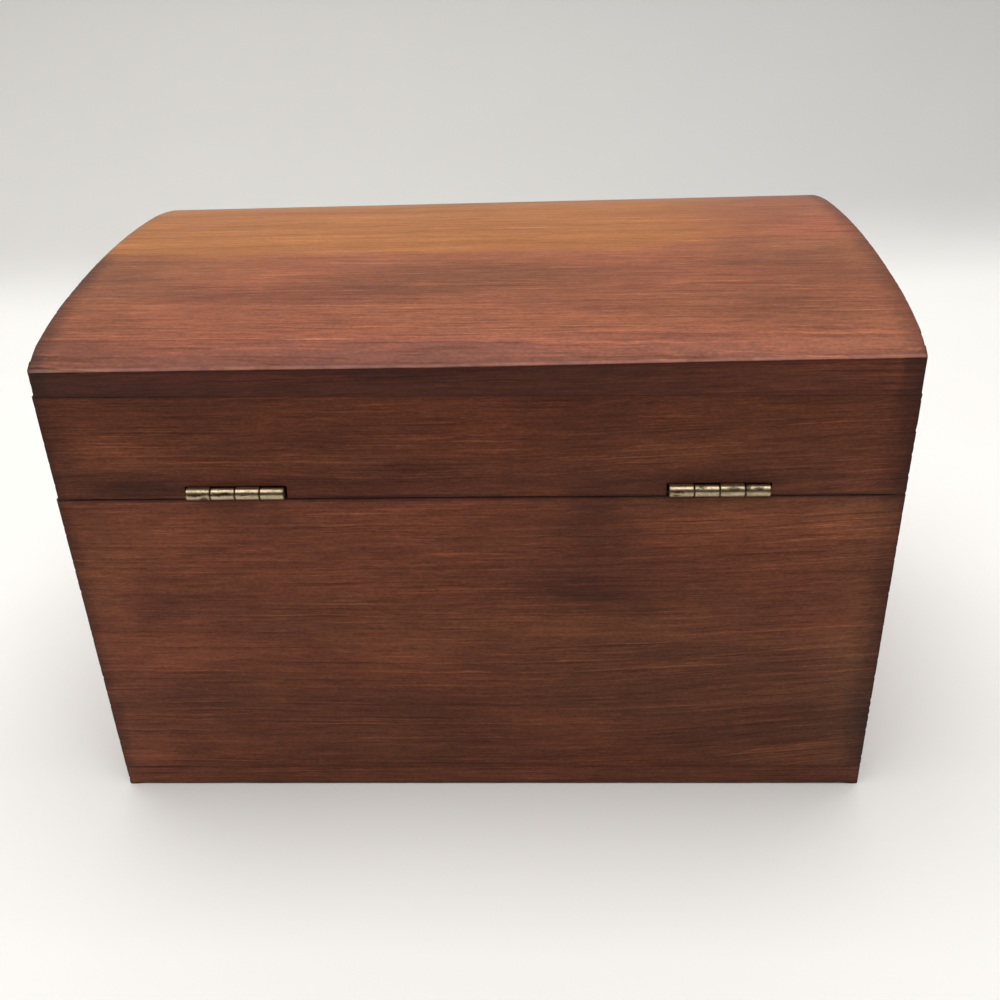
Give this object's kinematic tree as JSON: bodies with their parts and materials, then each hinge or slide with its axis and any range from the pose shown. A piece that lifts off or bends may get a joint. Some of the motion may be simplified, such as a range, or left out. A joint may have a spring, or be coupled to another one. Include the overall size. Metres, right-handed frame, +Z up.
{
  "type": "recipe card box",
  "caption": "Hinged wooden box for index-size recipe cards, with a thick domed lid and small brass butt hinges let into the lid's back rail.",
  "frame": {"origin": "centre of the underside of the bottom board", "axes": "+X along the length, to the right seen from the front; +Y towards the back, where the hinges are; +Z up"},
  "size_m": [0.162, 0.1052, 0.1076],
  "materials": {
    "stained_wood": "reddish-brown stained softwood, satin, fine horizontal grain",
    "hinge_brass": "dull aged brass plate",
    "pin_brass": "dull aged brass wire",
    "screw_brass": "aged brass, worn on the slots"
  },
  "bodies": {
    "box": {"bottom_board": "stained_wood", "body_front_panel": "stained_wood", "body_back_panel": "stained_wood", "body_left_side": "stained_wood", "body_right_side": "stained_wood", "left_hinge_body_leaf": "hinge_brass", "left_hinge_pin": "pin_brass", "left_hinge_body_screws": "screw_brass", "right_hinge_body_leaf": "hinge_brass", "right_hinge_pin": "pin_brass", "right_hinge_body_screws": "screw_brass"},
    "lid": {"lid_front_rail": "stained_wood", "lid_back_rail": "stained_wood", "lid_left_side": "stained_wood", "lid_right_side": "stained_wood", "lid_top_board": "stained_wood", "left_hinge_lid_leaf": "hinge_brass", "left_hinge_lid_screws": "screw_brass", "right_hinge_lid_leaf": "hinge_brass", "right_hinge_lid_screws": "screw_brass"}
  },
  "joints": [
    {"name": "lid_hinge", "type": "hinge", "parent": "box", "child": "lid", "pos_m": [0, 0.05217, 0.07456], "axis": [-1, 0, -0.0063], "range_deg": [0, 181.5]}
  ]
}
